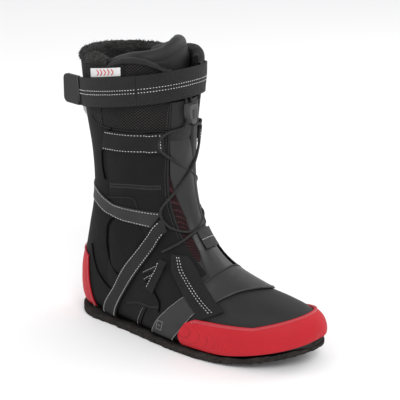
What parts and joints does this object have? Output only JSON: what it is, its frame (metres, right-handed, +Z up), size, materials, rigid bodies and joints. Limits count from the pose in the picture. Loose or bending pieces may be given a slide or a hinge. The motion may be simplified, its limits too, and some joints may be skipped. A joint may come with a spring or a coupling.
{
  "type": "snowboard boot liner",
  "caption": "Padded inner boot for snowboarding with a wrapping tongue, cord lacing and cord lock, webbing straps and a cuff strap with a pull tab.",
  "frame": {"origin": "on the ground under the middle of the sole, at the centre of the flat sole face", "axes": "+X to the toe, +Z up, the lateral side of this right boot is -Y"},
  "size_m": [0.297, 0.1217, 0.311],
  "materials": {
    "rubber_felt": "rough",
    "board": "matte",
    "footbed_foam": "matte",
    "foam": "matte",
    "plush": "soft pile",
    "counter": "matte",
    "mesh": "knitted mesh",
    "softshell": "matte softshell",
    "red_neoprene": "smooth neoprene",
    "webbing": "woven webbing",
    "grey_fabric": "smooth fabric",
    "label": "satin label",
    "maroon_mesh": "mesh",
    "strap_webbing": "woven webbing",
    "hook_loop": "hook and loop",
    "tab_rubber": "moulded rubber",
    "cord": "braided cord",
    "lock_plastic": "moulded plastic",
    "spring_steel": "wire",
    "loop_web": "thin webbing"
  },
  "bodies": {
    "upper": {"outsole": "rubber_felt", "insole_board": "board", "footbed": "footbed_foam", "foam_shell": "foam", "plush_lining": "plush", "heel_counter": "counter", "plush_collar": "plush", "cuff_mesh_lateral": "mesh", "cuff_mesh_medial": "mesh", "quarter_lateral": "softshell", "quarter_medial": "softshell", "spine_panel": "softshell", "vamp": "softshell", "toe_rand": "red_neoprene", "heel_rand": "red_neoprene", "ankle_pad_lateral": "softshell", "ankle_pad_medial": "softshell", "calf_strap_lateral": "webbing", "calf_strap_medial": "webbing", "ankle_strap": "webbing", "heel_strap_lateral": "webbing", "heel_strap_medial": "webbing", "midfoot_strap_lateral": "webbing", "midfoot_strap_medial": "webbing", "vamp_strap_lateral": "webbing", "vamp_strap_medial": "webbing", "forefoot_band": "grey_fabric", "low_loop_lateral": "webbing", "low_loop_medial": "webbing", "label_lateral": "label", "label_medial": "label", "gusset_lateral": "maroon_mesh", "gusset_medial": "maroon_mesh", "cuff_strap": "strap_webbing", "strap_loop_patch": "hook_loop", "strap_anchor": "strap_webbing", "lace": "cord"},
    "tongue": {"tongue_pad": "foam", "tongue_face": "grey_fabric", "tongue_wings": "foam", "tongue_top": "grey_fabric", "lace_keeper": "grey_fabric"},
    "strap_end": {"strap_free_end": "strap_webbing", "strap_hook_patch": "hook_loop"},
    "tab": {"pull_tab": "tab_rubber"},
    "lock": {"lock_body": "lock_plastic", "lock_spring": "spring_steel"},
    "button": {"lock_button": "lock_plastic"},
    "rear_loop": {"rear_pull_loop": "loop_web"}
  },
  "joints": [
    {"name": "tongue_tilt", "type": "hinge", "parent": "upper", "child": "tongue", "pos_m": [0.028, 0, 0.09], "axis": [0, 1, 0], "range_deg": [-5, 0], "stiffness_Nm_per_rad": 8, "springref_deg": 1.72, "deforming": ["tongue_wings"]},
    {"name": "strap_peel", "type": "hinge", "parent": "upper", "child": "strap_end", "pos_m": [-0.0343, -0.0537, 0.263], "axis": [0, 0, 1], "range_deg": [0, 80]},
    {"name": "tab_bend", "type": "hinge", "parent": "strap_end", "child": "tab", "pos_m": [-0.1122, -0.0485, 0.252], "axis": [0, 0, 1], "range_deg": [0, 30], "stiffness_Nm_per_rad": 0.02},
    {"name": "lock_slide", "type": "slide", "parent": "upper", "child": "lock", "axis": [0, 0, -1], "range_m": [0, 0.01], "deforming": ["lace"]},
    {"name": "lock_button_press", "type": "slide", "parent": "lock", "child": "button", "axis": [-1, 0, 0], "range_m": [0, 0.0014], "stiffness_N_per_m": 200, "springref_m": -0.001, "deforming": ["lock_spring"]},
    {"name": "rear_loop_flop", "type": "hinge", "parent": "upper", "child": "rear_loop", "pos_m": [-0.1238, 0, 0.2], "axis": [0, 1, 0], "range_deg": [-45, 0]}
  ]
}
